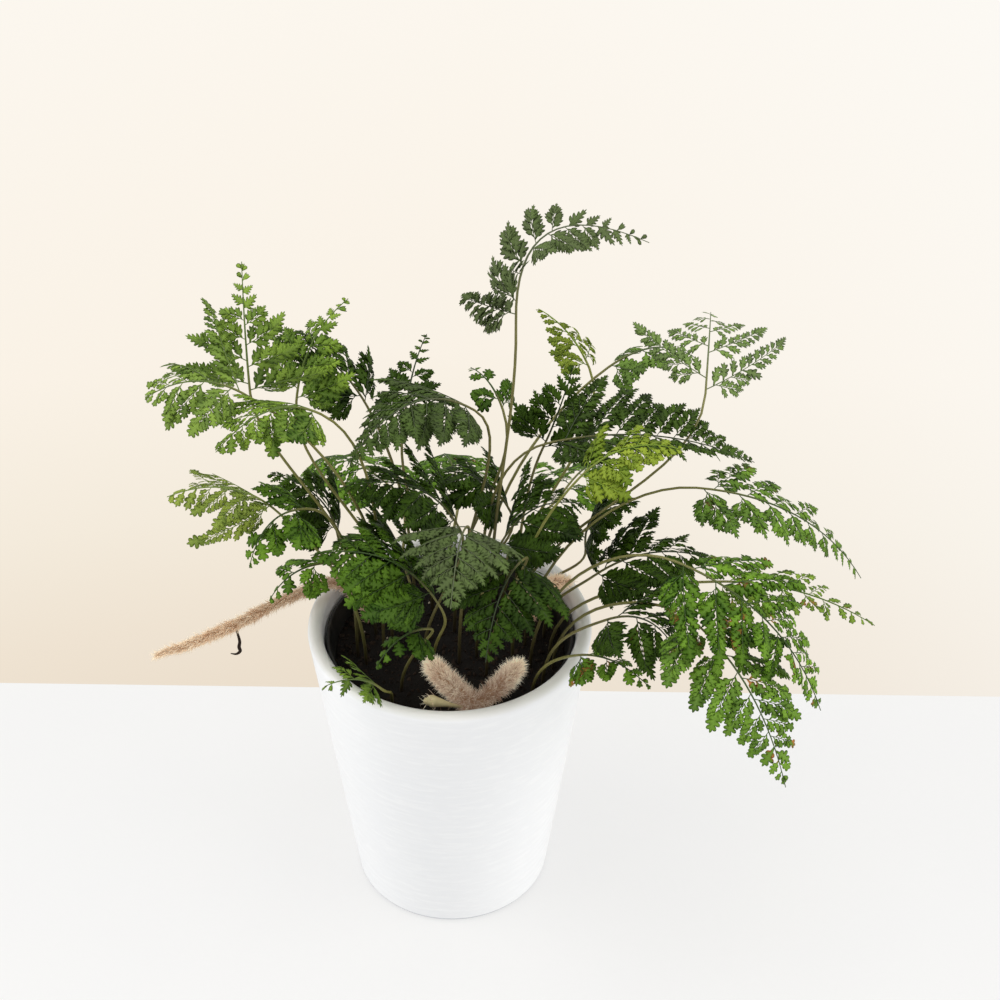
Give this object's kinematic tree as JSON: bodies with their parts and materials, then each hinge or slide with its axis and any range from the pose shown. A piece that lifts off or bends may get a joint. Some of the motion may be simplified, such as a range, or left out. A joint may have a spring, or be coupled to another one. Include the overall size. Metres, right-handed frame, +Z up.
{
  "type": "potted_fern",
  "caption": "potted rabbit's foot fern with lacy fronds and furry rhizomes in a tapered white glazed cover pot",
  "frame": {"origin": "middle of the pot's flat underside", "axes": "+X to the viewer's right, +Y away from the viewer, +Z up from the table"},
  "size_m": [0.3216, 0.2607, 0.3528],
  "materials": {
    "glazed_white": "smooth white glaze with a soft shine",
    "black_plastic": "thin black plastic, matte",
    "potting_soil": "moist dark potting mix of fine bark and peat, matte",
    "tan_fur": "shaggy tan fur on a living rhizome",
    "leaf_dark": "mature frond, dark green, satin",
    "leaf_mid": "frond in its second season, mid green, satin",
    "leaf_light": "young frond, light green, satin",
    "leaf_lime": "newest frond, lime green, satin"
  },
  "bodies": {
    "root": {"outer_pot": "glazed_white", "nursery_pot": "black_plastic", "soil": "potting_soil", "rhizome_left": "tan_fur", "rhizome_front": "tan_fur", "rhizome_right": "tan_fur", "frond_front_right": "leaf_mid", "frond_front_dark": "leaf_dark", "frond_front_grey": "leaf_dark", "frond_right_middle": "leaf_mid", "frond_front_left": "leaf_mid", "frond_tall": "leaf_dark", "frond_left_bright": "leaf_light", "frond_centre_right": "leaf_dark", "frond_dome_left": "leaf_dark", "frond_lime_right": "leaf_lime", "frond_right_comb": "leaf_mid", "frond_right_lacy": "leaf_light", "frond_left_lacy": "leaf_lime", "frond_left_tall": "leaf_light", "frond_left_high": "leaf_light", "frond_left_low": "leaf_light", "frond_left_back": "leaf_dark", "frond_back_spire": "leaf_dark", "frond_right_top": "leaf_mid", "frond_back_right": "leaf_mid", "frond_lime_back": "leaf_lime", "frond_small_back": "leaf_mid", "frond_right_dark": "leaf_dark", "frond_right_low": "leaf_dark", "frond_centre_left": "leaf_dark", "frond_left_dark": "leaf_dark", "frond_centre_back": "leaf_dark", "frond_centre": "leaf_dark", "frond_left_droop": "leaf_mid", "frond_rim_left": "leaf_mid", "frond_rim_right": "leaf_mid", "frond_rim_front": "leaf_light", "frond_inner_left": "leaf_mid", "frond_back_left": "leaf_mid", "frond_back_middle": "leaf_mid", "frond_back_low_right": "leaf_mid", "frond_left_inner": "leaf_dark", "frond_right_inner": "leaf_dark", "frond_centre_top": "leaf_dark"}
  },
  "joints": []
}
